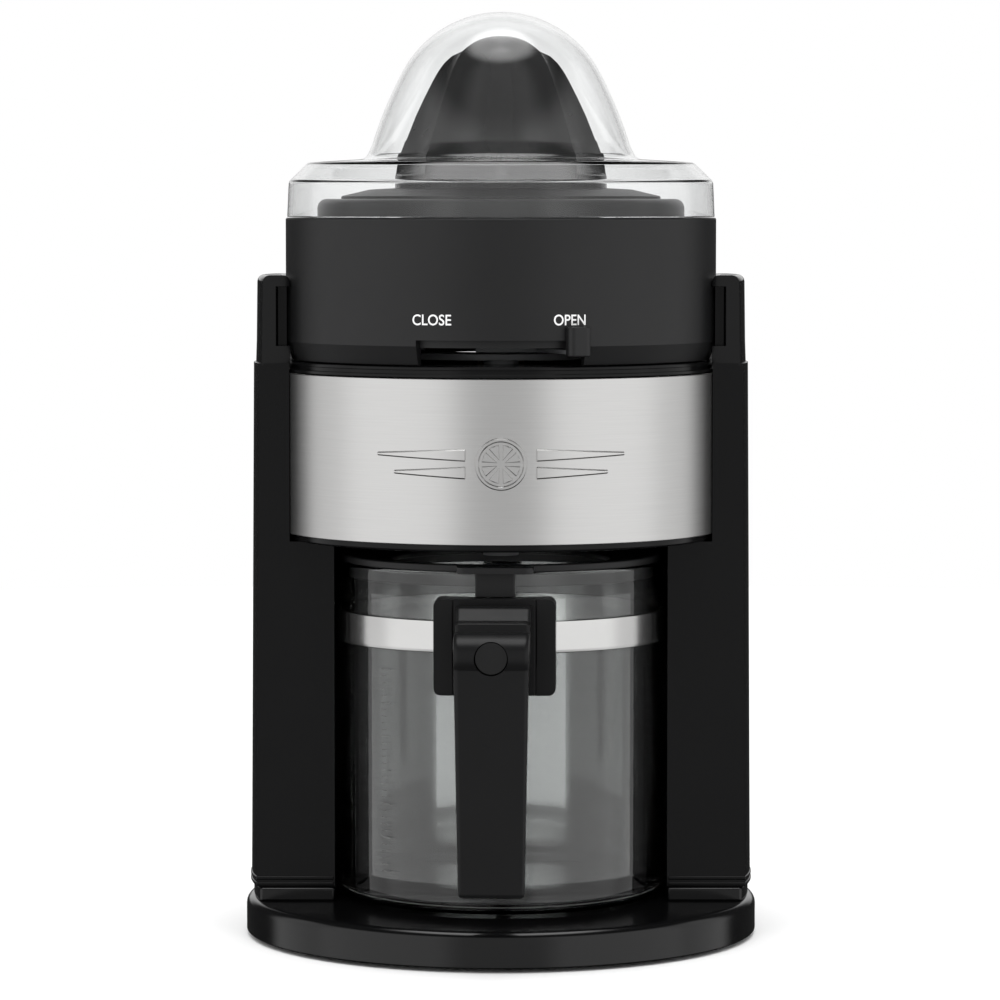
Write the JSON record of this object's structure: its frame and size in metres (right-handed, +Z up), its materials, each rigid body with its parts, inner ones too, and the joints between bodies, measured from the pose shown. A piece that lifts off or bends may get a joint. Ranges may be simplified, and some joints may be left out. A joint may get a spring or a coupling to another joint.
{
  "type": "citrus press juicer",
  "caption": "Electric citrus juicer with a clear domed cover, ribbed reamer, black bowl with a drip lever, brushed steel motor band and a glass carafe in its bay.",
  "frame": {"origin": "on the table under the middle of the whole object's box, carafe handle included", "axes": "+Z up along the reamer's axis, -Y towards the carafe handle and the drip lever, +X to the right seen from the front"},
  "size_m": [0.1928, 0.2109, 0.3472],
  "materials": {
    "gloss_black": "glossy",
    "satin_black": "satin",
    "matte_black": "fine matt texture",
    "dark_grey": "satin",
    "grey_plastic": "satin",
    "white_plastic": "satin",
    "rubber": "matt",
    "brushed_steel": "brushed around the band",
    "polished_steel": "polished",
    "steel": "plain turned",
    "brass": "turned",
    "clear_plastic": "transparent, polished",
    "clear_glass": "transparent, polished"
  },
  "bodies": {
    "housing": {"base_tray": "satin_black", "base_plate": "satin_black", "foot_1": "rubber", "foot_2": "rubber", "foot_3": "rubber", "foot_4": "rubber", "base_screw_1": "steel", "base_screw_2": "steel", "base_screw_3": "steel", "base_screw_4": "steel", "left_pillar": "gloss_black", "right_pillar": "gloss_black", "rear_wall": "gloss_black", "rear_cover": "gloss_black", "cord_grommet": "rubber", "motor_shell": "gloss_black", "steel_band": "brushed_steel", "motor_deck": "gloss_black", "spout_well": "grey_plastic", "shaft_bush_upper": "brass", "shaft_bush_lower": "brass", "shaft_seal": "rubber", "gearbox_lower": "grey_plastic", "gearbox_upper": "grey_plastic", "idler_pin": "steel", "motor_stator": "steel", "micro_switch": "satin_black", "terminal_block": "grey_plastic", "return_spring": "steel"},
    "rotor": {"motor_rotor": "steel"},
    "idler": {"idler_gear": "white_plastic"},
    "output": {"output_gear": "white_plastic"},
    "shaft": {"drive_shaft": "steel"},
    "plunger": {"switch_plunger": "white_plastic"},
    "bowl": {"juice_bowl": "satin_black", "spout_tube": "grey_plastic"},
    "lever": {"shutter_plate": "grey_plastic", "lever_knob": "satin_black"},
    "basket": {"pulp_basket": "dark_grey"},
    "sweeper": {"pulp_sweeper": "satin_black"},
    "reamer": {"reamer_cone": "satin_black"},
    "cover": {"dust_cover": "clear_plastic"},
    "carafe": {"carafe_glass": "clear_glass", "carafe_band": "polished_steel", "handle_bracket": "matte_black", "handle_grip": "matte_black", "grip_cap": "matte_black", "carafe_lid": "satin_black"}
  },
  "joints": [
    {"name": "bowl_lift", "type": "slide", "parent": "housing", "child": "bowl", "axis": [0, 0, 1], "range_m": [0, 0.1]},
    {"name": "lever_turn", "type": "hinge", "parent": "bowl", "child": "lever", "pos_m": [0, 0.0091, 0.222], "axis": [0, 0, 1], "range_deg": [-39.2, 0]},
    {"name": "basket_lift", "type": "slide", "parent": "bowl", "child": "basket", "axis": [0, 0, 1], "range_m": [0, 0.06]},
    {"name": "sweeper_spin", "type": "hinge", "parent": "basket", "child": "sweeper", "pos_m": [0, 0.0091, 0.27], "axis": [0, 0, 1], "continuous": true},
    {"name": "reamer_press", "type": "slide", "parent": "sweeper", "child": "reamer", "axis": [0, 0, -1], "range_m": [0, 0.003], "stiffness_N_per_m": 2000, "springref_m": -0.002},
    {"name": "cover_lift", "type": "slide", "parent": "basket", "child": "cover", "axis": [0, 0, 1], "range_m": [0, 0.1]},
    {"name": "output_spin", "type": "hinge", "parent": "housing", "child": "output", "pos_m": [0, 0.0091, 0.2], "axis": [0, 0, 1], "continuous": true},
    {"name": "shaft_press", "type": "slide", "parent": "output", "child": "shaft", "axis": [0, 0, -1], "range_m": [0, 0.003], "deforming": ["return_spring"]},
    {"name": "idler_spin", "type": "hinge", "parent": "housing", "child": "idler", "pos_m": [0.02, 0.0271, 0.19], "axis": [0, 0, 1], "continuous": true},
    {"name": "rotor_spin", "type": "hinge", "parent": "housing", "child": "rotor", "pos_m": [0, 0.0431, 0.17], "axis": [0, 0, 1], "continuous": true},
    {"name": "plunger_press", "type": "slide", "parent": "housing", "child": "plunger", "axis": [0, 0, -1], "range_m": [0, 0.003]},
    {"name": "carafe_slide", "type": "slide", "parent": "housing", "child": "carafe", "axis": [0, -1, 0], "range_m": [0, 0.17]}
  ],
  "couplings": [
    {"joint": "output_spin", "follows": "sweeper_spin", "ratio": 1},
    {"joint": "idler_spin", "follows": "sweeper_spin", "ratio": -4.375},
    {"joint": "rotor_spin", "follows": "sweeper_spin", "ratio": 18.047},
    {"joint": "shaft_press", "follows": "reamer_press", "ratio": 1},
    {"joint": "plunger_press", "follows": "reamer_press", "ratio": 1}
  ]
}
